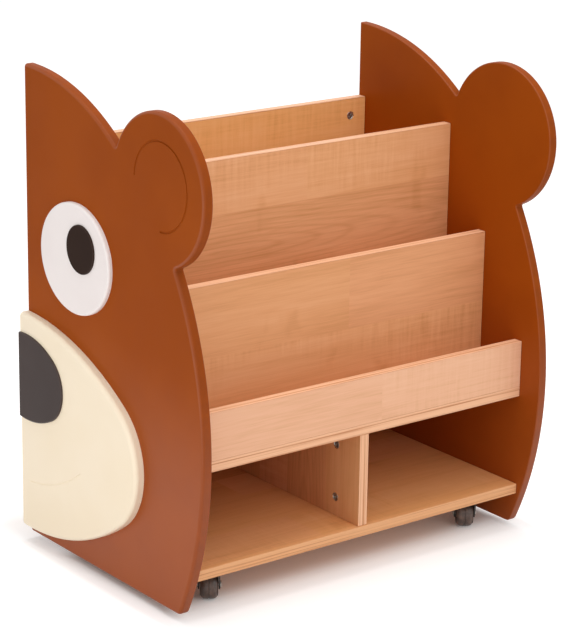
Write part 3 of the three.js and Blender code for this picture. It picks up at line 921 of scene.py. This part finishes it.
def grooveTube(groove, centre, side, faceX):  # round channel along an arc, rounded off at both ends
    mesh = bmesh.new()
    half = groove["width"] / 2
    start = math.radians(groove["start"])
    end = math.radians(groove["end"])
    sides = grooveSection["sides"]
    stations = []  # arc angle, step past the end, size
    for share in reversed(grooveSection["endShares"]):
        stations.append((start, -share * half, math.sqrt(1 - share ** 2)))
    for step in range(groove["steps"] + 1):
        stations.append((start + (end - start) * step / groove["steps"], 0, 1))
    for share in grooveSection["endShares"]:
        stations.append((end, share * half, math.sqrt(1 - share ** 2)))
    rings = []
    for angle, past, size in stations:
        outward = Vector((math.cos(angle), math.sin(angle)))
        middle = centre + groove["radius"] * outward + past * Vector((-outward.y, outward.x))
        ring = []
        for step in range(sides):
            turn = 2 * math.pi * step / sides
            point = middle + half * size * math.cos(turn) * outward
            depth = groove["depth"] * size * math.sin(turn)
            ring.append(mesh.verts.new((side * (faceX + depth), backY - point.x, panelBottom + point.y)))
        rings.append(ring)
    return joinRings(mesh, rings)


# Side panels with their face plates

def cutGroove(plate, groove):  # the rim mask of the plate's own points is carried over
    def spotOf(vert):
        return tuple(round(value, 5) for value in vert.co)
    rim = plate.verts.layers.float["rim"]
    masks = {spotOf(vert): vert[rim] for vert in plate.verts}
    cut = combine(plate, [groove], "DIFFERENCE")
    rim = cut.verts.layers.float["rim"]
    for vert in cut.verts:
        vert[rim] = masks.get(spotOf(vert), 0)
    return cut


def innerFace(node, side):
    low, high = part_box(node)
    return high.x * side if side < 0 else low.x


def thicknessOf(node):
    low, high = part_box(node)
    return high.x - low.x


def facePlate(node, side, base, shape, outlineAt):  # the plate and the place of its outer face
    depth = innerFace(node, side) + thicknessOf(node) - base
    levels = edgeLevels(depth, 0, shape["round"], shape["roundSteps"])
    return stackedPlate(levels, outlineAt, side, base), base + depth


def makeSide(word, side):
    panelNode = word + "_side_panel"
    panelInner = innerFace(panelNode, side)
    panelThickness = thicknessOf(panelNode)
    panelFace = panelInner + panelThickness
    panelLevels = edgeLevels(
        panelThickness,
        panelShape["innerBevel"],
        panelShape["outerRound"],
        panelShape["roundSteps"],
    )
    panel = stackedPlate(panelLevels, panelOutline, side, panelInner)
    grooveCentre = earCentre + Vector(earGroove["offset"])
    panel = cutGroove(panel, grooveTube(earGroove, grooveCentre, side, panelFace))
    addPiece(word + "_bear_panel", panel, brownLacquer, "carcass", [panelNode])

    muzzleNode = word + "_muzzle"
    muzzleOutline = partial(halfPlateOutline, muzzleShape)
    muzzle, muzzleFace = facePlate(muzzleNode, side, panelFace, muzzleShape, muzzleOutline)
    mouth = grooveTube(mouthGroove, Vector(mouthGroove["centre"]), side, muzzleFace)
    muzzle = cutGroove(muzzle, mouth)
    addPiece(word + "_muzzle_plate", muzzle, creamLacquer, "carcass", [muzzleNode])

    noseNode = word + "_nose"
    noseOutline = partial(halfPlateOutline, noseShape)
    nose = facePlate(noseNode, side, muzzleFace, noseShape, noseOutline)[0]
    addPiece(word + "_nose_plate", nose, noseLacquer, "carcass", [noseNode])

    eyeNode = word + "_eye"
    eyeOutline = partial(ovalOutline, eyeShape, eyeNode)
    eye, eyeFace = facePlate(eyeNode, side, panelFace, eyeShape, eyeOutline)
    addPiece(word + "_eye_plate", eye, whiteLacquer, "carcass", [eyeNode])

    pupilNode = word + "_pupil"
    pupilOutline = partial(ovalOutline, pupilShape, pupilNode)
    pupil = facePlate(pupilNode, side, eyeFace, pupilShape, pupilOutline)[0]
    addPiece(word + "_pupil_disc", pupil, pupilLacquer, "carcass", [pupilNode])


makeSide("left", -1)
makeSide("right", 1)
print("side panels and face plates ready")


# Boards with edge bands

boardSettings = {
    "edgeBreak": 0.0005,
    "bandThickness": 0.0012,
    "bandRound": 0.0007,
    "bandRoundSteps": 3,
    "bandSeam": 0.00012,
    "boreClearance": 0.0003,
    "boreSteps": 40,
}

boards = [  # node, banded side, tones of the band, tones of the wood, grain order, grain shift
    # the tones of the front lip, back board and base shelf carry painted light and shade
    ("base_shelf", "front", "baseBandTones", "baseTones", "XYZ", (1.96, 2.835, 4.45)),
    ("browser_floor", "front", "bandTones", "plainTones", "XYZ", (1.1, 2.61, 5.2)),
    ("upper_floor", None, None, "plainTones", "XYZ", (2.2, 3.43, 7.3)),
    ("front_lip", "top", "bandTones", "lightTones", "XZY", (3.32, 1.682, 9.4)),
    ("front_divider", "top", "bandTones", "plainTones", "XZY", (2.37, 8.206, 3.7)),
    ("rear_divider", "top", "bandTones", "plainTones", "XZY", (0.91, 1.457, 4.6)),
    ("back_board", "top", "bandTones", "warmTones", "XZY", (0.44, 5.343, 6.7)),
    ("partition", "front", "bandTones", "plainTones", "ZYX", (7.3, 8.45, 8.8)),
]

boardCams = {
    "partition": ["front_lower", "front_upper", "rear_lower", "rear_upper"],
    "back_board": ["left_lower", "left_upper", "right_lower", "right_upper"],
}


def camBore(camNode):
    low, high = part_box(camNode)
    size = high - low
    depth = min(size)
    radius = max(size) / 2 + boardSettings["boreClearance"]
    bore = rodMesh(radius, -depth, depth / 2, boardSettings["boreSteps"])
    inward = Vector((1, 0, 0)) if size.x == depth else Vector((0, 1, 0))
    turn = Vector((0, 0, 1)).rotation_difference(inward).to_matrix().to_4x4()
    return placed(bore, Matrix.Translation((low + high) / 2) @ turn)


def makeBoard(node, bandedSide, bandTones, woodTones, order, shift):
    low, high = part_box(node)
    coreLow = low.copy()
    coreHigh = high.copy()
    bandLow = low.copy()
    bandHigh = high.copy()
    thickness = boardSettings["bandThickness"]
    if bandedSide == "top":
        bandLow.z = high.z - thickness
        coreHigh.z = bandLow.z - boardSettings["bandSeam"]
    if bandedSide == "front":
        bandHigh.y = low.y + thickness
        coreLow.y = bandHigh.y + boardSettings["bandSeam"]
    core = blockMesh(coreLow, coreHigh, boardSettings["edgeBreak"])
    bores = [camBore(node + "_" + place + "_cam") for place in boardCams.get(node, [])]
    if bores:
        core = combine(core, bores, "DIFFERENCE")
    grain = makeBoardMaterial(node + "_decor", woodTones, order, shift)
    addPiece(node + "_core", core, grain, "carcass", [node])
    if bandedSide:
        band = blockMesh(bandLow, bandHigh, boardSettings["bandRound"], boardSettings["bandRoundSteps"])
        stripes = makeBandMaterial(node + "_band_decor", bandTones, order, shift)
        addPiece(node + "_edge_band", band, stripes, "carcass", [node])


for settings in boards:
    makeBoard(*settings)
print("boards ready")


# Cam fittings

camSettings = {
    "rimBevel": 0.0006,
    "dish": 0.0006,
    "slotWidth": 0.0022,
    "slotLength": 0.010,
    "slotDepth": 0.0025,
    "slotTurn": 0.5,  # radians
    "steps": 48,
}


def makeCam(node):
    low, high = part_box(node)
    size = high - low
    length = min(size)
    radius = max(size) / 2
    bevel = camSettings["rimBevel"]
    body = turnedMesh([
        (0, 0),
        (radius - bevel, 0),
        (radius, bevel),
        (radius, length - bevel),
        (radius - bevel, length),
        (radius - 2 * bevel, length),
        (radius - 3 * bevel, length - camSettings["dish"]),
        (0, length - camSettings["dish"]),
    ], camSettings["steps"])
    slots = crossedSlots(
        camSettings["slotLength"],
        camSettings["slotWidth"],
        length - camSettings["slotDepth"],
        length + bevel,
    )
    body = combine(body, slots, "DIFFERENCE")
    facing = Vector((-1, 0, 0)) if size.x == length else Vector((0, -1, 0))
    back = (low + high) / 2 - facing * length / 2
    turn = Vector((0, 0, 1)).rotation_difference(facing).to_matrix().to_4x4()
    turn = turn @ Matrix.Rotation(camSettings["slotTurn"], 4, "Z")
    placed(body, Matrix.Translation(back) @ turn)
    addPiece(node + "_disc", body, zinc, "carcass", [node])


for board, places in boardCams.items():
    for place in places:
        makeCam(board + "_" + place + "_cam")
print("cam fittings ready")


# Castors

castorSeam = 0.0003  # gap between neighbouring pieces
castorCutOver = 0.001  # how far a cutter passes the face it cuts


def mirrored(profile):
    return [(radius, -height) for radius, height in reversed(profile)]


wheelSettings = {
    "width": 0.030,
    "corner": 0.009,
    "cornerSteps": 6,
    "rimDepth": 0.006,
    "rimBreak": 0.001,
    "rimSlope": 0.0015,
    "rimFoot": 0.003,
    "rimRise": 0.001,
    "webThickness": 0.012,
    "hubRadius": 0.009,
    "hubFoot": 0.0012,
    "hubBreak": 0.0008,
    "grooveWidth": 0.0016,
    "grooveDepth": 0.0011,
    "grooveFloor": 0.6,  # share of the width
    "steps": 72,
}


def wheelMesh(radius):
    half = wheelSettings["width"] / 2
    corner = wheelSettings["corner"]
    tread = wheelSettings["grooveWidth"] / 2
    treadFloor = radius - wheelSettings["grooveDepth"]
    rim = radius - wheelSettings["rimDepth"]
    rimBreak = wheelSettings["rimBreak"]
    web = wheelSettings["webThickness"] / 2
    hub = wheelSettings["hubRadius"]
    hubFoot = wheelSettings["hubFoot"]
    hubBreak = wheelSettings["hubBreak"]
    upper = [
        (treadFloor, 0),
        (treadFloor, tread * wheelSettings["grooveFloor"]),
        (radius, tread),
        *roundCorner((radius - corner, half - corner), corner, 0, 90, wheelSettings["cornerSteps"]),
        (rim + rimBreak, half),
        (rim, half - rimBreak),
        (rim - wheelSettings["rimSlope"], web + wheelSettings["rimRise"]),
        (rim - wheelSettings["rimFoot"], web),
        (hub + hubFoot, web),
        (hub, web + hubFoot),
        (hub, half - hubBreak),
        (hub - hubBreak, half),
        (axleSettings["radius"] + axleSettings["clearance"], half),
    ]
    return turnedMesh(mirrored(upper[1:]) + upper, wheelSettings["steps"], closed=True)


axleSettings = {
    "radius": 0.004,
    "clearance": 0.0003,
    "headRadius": 0.0065,
    "headThickness": 0.0022,
    "headBreak": 0.0003,
    "headWall": 0.0009,
    "headCrown": ((0.9, 0.0005), (0.6, 0.0001)),  # share of the radius, drop below the top
    "steps": 40,
}


def axleMesh():
    reach = cheekFaces()[1] + castorSeam
    end = reach + axleSettings["headThickness"]
    head = axleSettings["headRadius"]
    upper = [
        (axleSettings["radius"], reach),
        (head - axleSettings["headBreak"], reach),
        (head, reach + axleSettings["headBreak"]),
        (head, reach + axleSettings["headWall"]),
        *[(head * share, end - drop) for share, drop in axleSettings["headCrown"]],
        (0, end),
    ]
    return turnedMesh(mirrored(upper) + upper, axleSettings["steps"])


forkSettings = {
    "sideClearance": 0.001,
    "cheekThickness": 0.0025,
    "bossRadius": 0.009,
    "bossSteps": 24,
    "crownThickness": 0.004,
    "holeSteps": 32,
    "flatAngle": 0.01,  # faces that turn by less, in radians, become one
    "edgeRound": 0.0005,
    "edgeSteps": 2,
    "edgeAngle": 50,  # degrees
}


def cheekFaces():  # inner and outer face of a fork cheek, out from the wheel's middle
    inner = wheelSettings["width"] / 2 + forkSettings["sideClearance"]
    return inner, inner + forkSettings["cheekThickness"]


def cheekMesh(inner, outer, trail, axleHeight, crownTop):
    race = raceSettings["radius"]
    boss = forkSettings["bossRadius"]
    points = [
        (-race, crownTop),
        *roundCorner((trail, axleHeight), boss, 180, 360, forkSettings["bossSteps"]),
        (race, crownTop),
    ]
    mesh = bmesh.new()
    rings = [[mesh.verts.new((x, y, z)) for y, z in points] for x in (inner, outer)]
    return joinRings(mesh, rings)


def forkMesh(trail, axleHeight, crownBottom, crownTop):
    inner, outer = cheekFaces()
    wide = inner + forkSettings["cheekThickness"] / 2
    deep = raceSettings["radius"] - castorSeam
    crown = blockMesh(Vector((-wide, -deep, crownBottom)), Vector((wide, deep, crownTop)))
    cheeks = [
        cheekMesh(inner, outer, trail, axleHeight, crownTop),
        cheekMesh(-outer, -inner, trail, axleHeight, crownTop),
    ]
    fork = combine(crown, cheeks, "UNION")
    steps = forkSettings["holeSteps"]
    axleHole = rodMesh(axleSettings["radius"] + axleSettings["clearance"], -2 * outer, 2 * outer, steps)
    placed(axleHole, Matrix.Translation((0, trail, axleHeight)) @ Matrix.Rotation(math.pi / 2, 4, "Y"))
    pinRadius = raceSettings["kingpinRadius"] + castorSeam
    pinHole = rodMesh(pinRadius, crownBottom - castorCutOver, crownTop + castorCutOver, steps)
    fork = combine(fork, [axleHole, pinHole], "DIFFERENCE")
    bmesh.ops.dissolve_limit(
        fork,
        angle_limit=forkSettings["flatAngle"],
        verts=fork.verts[:],
        edges=fork.edges[:],
    )
    return softenEdges(
        fork,
        forkSettings["edgeRound"],
        forkSettings["edgeSteps"],
        forkSettings["edgeAngle"],
    )


plateSettings = {
    "thickness": 0.0025,
    "corner": 0.005,
    "cornerSteps": 8,
    "edgeBreak": 0.0005,
    "holeTop": 0.1,  # a height above the plate
    "holeSteps": 24,
}


def plateMesh(low, high, screwPlaces):
    middle = (low + high) / 2
    half = (high.x - low.x) / 2
    bottom = high.z - plateSettings["thickness"]
    corner = plateSettings["corner"]
    edge = plateSettings["edgeBreak"]
    points = []
    for start, signX, signY in ((0, 1, 1), (90, -1, 1), (180, -1, -1), (270, 1, -1)):
        centre = (middle.x + signX * (half - corner), middle.y + signY * (half - corner))
        points += roundCorner(centre, corner, start, start + 90, plateSettings["cornerSteps"])
    mesh = bmesh.new()
    rings = []
    for height, inset in ((bottom, edge), (bottom + edge, 0), (high.z - edge, 0), (high.z, edge)):
        ring = []
        for x, y in points:
            spot = Vector((x - middle.x, y - middle.y)) * (1 - inset / half)
            ring.append(mesh.verts.new((middle.x + spot.x, middle.y + spot.y, height)))
        rings.append(ring)
    plate = joinRings(mesh, rings)
    radius = screwSettings["radius"] + castorSeam
    holeBottom = bottom - castorCutOver
    holes = []
    for place in screwPlaces:
        hole = rodMesh(radius, holeBottom, plateSettings["holeTop"], plateSettings["holeSteps"])
        holes.append(placed(hole, Matrix.Translation((place.x, place.y, 0))))
    return combine(plate, holes, "DIFFERENCE")


raceSettings = {
    "radius": 0.013,
    "kingpinRadius": 0.004,
    "rivetRadius": 0.007,
    "rivetThickness": 0.0026,
    "rivetCrown": ((0.6, 0.0002), (0.9, 0.0008)),  # share of the radius, rise above the foot
    "rivetWall": 0.0006,
    "lowerBreak": 0.001,
    "upperBreak": 0.0006,
    "grooveDepth": 0.0012,
    "grooveWidth": 0.0024,
    "grooveFloor": 0.001,
    "steps": 56,
}


def raceMesh(crownBottom, crownTop, plateBottom):  # ball race, kingpin and its riveted head
    race = raceSettings["radius"]
    rivet = raceSettings["rivetRadius"]
    kingpin = raceSettings["kingpinRadius"]
    bottom = crownTop + castorSeam
    head = crownBottom - castorSeam
    foot = head - raceSettings["rivetThickness"]
    middle = (bottom + plateBottom) / 2
    inGroove = race - raceSettings["grooveDepth"]
    groove = raceSettings["grooveWidth"] / 2
    grooveFloor = raceSettings["grooveFloor"] / 2
    return turnedMesh([
        (0, foot),
        *[(rivet * share, foot + rise) for share, rise in raceSettings["rivetCrown"]],
        (rivet, head - raceSettings["rivetWall"]),
        (rivet, head),
        (kingpin, head),
        (kingpin, bottom),
        (race - raceSettings["lowerBreak"], bottom),
        (race, bottom + raceSettings["lowerBreak"]),
        (race, middle - groove),
        (inGroove, middle - grooveFloor),
        (inGroove, middle + grooveFloor),
        (race, middle + groove),
        (race, plateBottom - raceSettings["upperBreak"]),
        (race - raceSettings["upperBreak"], plateBottom),
        (0, plateBottom),
    ], raceSettings["steps"])


screwSettings = {
    "headRadius": 0.0042,
    "headHeight": 0.0024,
    "headCrown": ((0.45, 0.0001), (0.8, 0.0006), (0.96, 0.0014)),  # share of the radius, rise
    "radius": 0.002,
    "recessLength": 0.0046,
    "recessWidth": 0.0009,
    "recessDepth": 0.0014,
    "steps": 32,
}


def screwMesh(low, high):
    top = low.z + screwSettings["headHeight"]
    head = screwSettings["headRadius"]
    shank = screwSettings["radius"]
    mesh = turnedMesh([
        (0, low.z),
        *[(head * share, low.z + rise) for share, rise in screwSettings["headCrown"]],
        (head, top),
        (shank, top),
        (shank, high.z - shank),
        (0, high.z),
    ], screwSettings["steps"])
    recess = crossedSlots(
        screwSettings["recessLength"],
        screwSettings["recessWidth"],
        low.z - castorCutOver,
        low.z + screwSettings["recessDepth"],
    )
    mesh = combine(mesh, recess, "DIFFERENCE")
    middle = (low + high) / 2
    return placed(mesh, Matrix.Translation((middle.x, middle.y, 0)))


def makeCastor(word):
    wheelNode = word + "_castor_wheel"
    axleNode = word + "_castor_axle"
    forkNode = word + "_castor_fork"
    plateNode = word + "_castor_plate"
    plateLow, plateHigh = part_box(plateNode)
    wheelLow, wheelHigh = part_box(wheelNode)
    pin = (plateLow + plateHigh) / 2
    wheelCentre = (wheelLow + wheelHigh) / 2
    away = Vector((wheelCentre.x - pin.x, wheelCentre.y - pin.y))
    trail = away.length
    axleHeight = wheelCentre.z
    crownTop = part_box(forkNode)[1].z
    crownBottom = crownTop - forkSettings["crownThickness"]
    plateBottom = plateHigh.z - plateSettings["thickness"]
    pinPlace = Matrix.Translation((pin.x, pin.y, 0))
    swivel = pinPlace @ Matrix.Rotation(math.atan2(-away.x, away.y), 4, "Z")
    spindle = swivel @ Matrix.Translation((0, trail, axleHeight)) @ Matrix.Rotation(math.pi / 2, 4, "Y")

    wheel = placed(wheelMesh(axleHeight), spindle)
    addPiece(word + "_wheel", wheel, castorNylon, word + "_wheel", [wheelNode])
    axle = placed(axleMesh(), spindle)
    addPiece(word + "_axle_pin", axle, zinc, word + "_fork", [axleNode])
    fork = placed(forkMesh(trail, axleHeight, crownBottom, crownTop), swivel)
    addPiece(word + "_fork_sheet", fork, blackSteel, word + "_fork", [forkNode])

    screwNodes = [word + "_castor_screw_" + str(number) for number in (1, 2, 3, 4)]
    screwBoxes = [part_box(node) for node in screwNodes]
    screwPlaces = [(low + high) / 2 for low, high in screwBoxes]
    plate = plateMesh(plateLow, plateHigh, screwPlaces)
    addPiece(word + "_top_plate", plate, zinc, "carcass", [plateNode])
    race = placed(raceMesh(crownBottom, crownTop, plateBottom), pinPlace)
    addPiece(word + "_ball_race", race, zinc, "carcass", [plateNode])
    for node, (low, high) in zip(screwNodes, screwBoxes):
        addPiece(node + "_pan_head", screwMesh(low, high), zinc, "carcass", [node])


for word in ("front_left", "front_right", "rear_left", "rear_right"):
    makeCastor(word)
print("castors ready")


# Floor, light and camera

stageSettings = {
    "floorSize": 60.0,
    "floorCells": 8,
    "floorRoughness": 0.9,
    "floorSpecular": 0.1,
    # warm floor colour under the bin: a painted tint of the warm light the wood throws into its shadow
    "paintedShadowTint": (0.89, 0.82, 0.785, 1),
    "floorColour": (0.85, 0.84, 0.835, 1),
    # the glow is weak under the bin and just before it, a painted shadow that deepens the rendered one;
    # well away from the bin it turns the floor white
    "floorGlow": (0.03, 0.31, 0.5),  # under the bin, before it and well away from it
    "shadeDepth": (0.115, 0.185),  # where the painted shade under the bin ends, to the front and back
    "shadeWidth": (0.35, 0.38),  # and to the sides
    "clearDepth": (0.22, 0.42),  # where the floor turns white
    "clearWidth": (0.365, 0.41),
    "worldLevel": 0.61,
    "lamps": {  # place, size and power
        "front": ((-0.2, -3.4, 2.4), 2.2, 36.0),
        "left": ((-1.9, -0.4, 0.3), 0.9, 6.5),
        "top": ((0.0, 0.0, 3.0), 1.6, 34.0),
        "upper": ((-0.2, -1.6, 3.2), 1.6, 12.0),
    },
    "aim": (0, 0, 0.45),
}


def seenByEye(tree):  # one for what the camera sees straight on, in gloss or through glass
    ray = addNode(tree, "ShaderNodeLightPath").outputs
    seen = maths(tree, "MAXIMUM", ray["Is Camera Ray"], ray["Is Glossy Ray"])
    return maths(tree, "MAXIMUM", seen, ray["Is Transmission Ray"])


def makeFloor(settings):
    cells = settings["floorCells"]
    mesh = bmesh.new()
    bmesh.ops.create_grid(mesh, x_segments=cells, y_segments=cells, size=settings["floorSize"] / 2)
    data = bpy.data.meshes.new("studioFloor")
    mesh.to_mesh(data)
    mesh.free()
    material, tree, shader, place = startMaterial("studioFloor")
    shader.inputs["Roughness"].default_value = settings["floorRoughness"]
    shader.inputs["Specular IOR Level"].default_value = settings["floorSpecular"]
    parts = addNode(tree, "ShaderNodeSeparateXYZ", {0: place}).outputs
    side = maths(tree, "ABSOLUTE", parts["X"])
    ahead = maths(tree, "ABSOLUTE", parts["Y"])
    shadeEnd = maths(
        tree,
        "MAXIMUM",
        between(tree, ahead, *settings["shadeDepth"]),
        between(tree, side, *settings["shadeWidth"]),
    )
    clear = maths(
        tree,
        "MAXIMUM",
        between(tree, ahead, *settings["clearDepth"]),
        between(tree, side, *settings["clearWidth"]),
    )
    # painted shadow: under the bin and just before it the floor takes the warm tint and a weaker glow
    colour = mixColours(tree, shadeEnd, settings["paintedShadowTint"], settings["floorColour"])
    tree.links.new(colour, shader.inputs["Base Color"])
    low, middle, high = settings["floorGlow"]
    glow = maths(tree, "MULTIPLY_ADD", shadeEnd, middle - low, low)
    glow = maths(tree, "MAXIMUM", glow, maths(tree, "MULTIPLY", clear, high))
    glow = maths(tree, "MULTIPLY", glow, seenByEye(tree))
    white = addNode(tree, "ShaderNodeEmission", {"Strength": glow})
    both = addNode(tree, "ShaderNodeAddShader", {0: shader.outputs[0], 1: white.outputs[0]})
    tree.links.new(both.outputs[0], tree.nodes["Material Output"].inputs["Surface"])
    data.materials.append(material)
    addObject("studioFloor", data)


def makeWorld(settings):
    world = bpy.data.worlds.new("studioWorld")
    scene.world = world
    world.use_nodes = True
    tree = world.node_tree
    level = settings["worldLevel"]
    strength = maths(tree, "MULTIPLY_ADD", seenByEye(tree), 1 - level, level)
    tree.links.new(strength, tree.nodes["Background"].inputs["Strength"])
    tree.nodes["Background"].inputs["Color"].default_value = (1, 1, 1, 1)


def makeSoftbox(name, place, size, power, aim):
    data = bpy.data.lights.new(name, "AREA")
    data.shape = "SQUARE"
    data.size = size
    data.energy = power
    lamp = addObject(name, data)
    lamp.location = place
    lamp.rotation_euler = (Vector(aim) - Vector(place)).to_track_quat("-Z", "Y").to_euler()


cameraSettings = {
    "place": (-2.48783, -3.21099, 1.64179),
    "turn": 37.63,  # degrees to the right of straight ahead
    "dip": 16.95,  # degrees below level
    "roll": 0.89,
    "focalPixels": 2470.83,
    "pictureHeight": 636,
    "sensor": 36,
    "clipEnd": 100,
}


def makeCamera(settings):
    turn = math.radians(settings["turn"])
    dip = math.radians(settings["dip"])
    roll = math.radians(settings["roll"])
    ahead = Vector((math.sin(turn) * math.cos(dip), math.cos(turn) * math.cos(dip), -math.sin(dip)))
    right = Vector((math.cos(turn), -math.sin(turn), 0))
    up = right.cross(ahead)
    across = math.cos(roll) * right + math.sin(roll) * up
    above = math.cos(roll) * up - math.sin(roll) * right
    data = bpy.data.cameras.new("photoCamera")
    data.sensor_width = settings["sensor"]
    data.lens = settings["focalPixels"] / settings["pictureHeight"] * settings["sensor"]
    data.clip_end = settings["clipEnd"]
    camera = addObject("photoCamera", data)
    facing = Matrix((across, above, -ahead)).transposed().to_4x4()
    camera.matrix_world = Matrix.Translation(settings["place"]) @ facing
    scene.camera = camera


makeFloor(stageSettings)
makeWorld(stageSettings)
for lampName, (lampPlace, lampSize, lampPower) in stageSettings["lamps"].items():
    makeSoftbox(lampName + "Softbox", lampPlace, lampSize, lampPower, stageSettings["aim"])
makeCamera(cameraSettings)
print("stage ready")
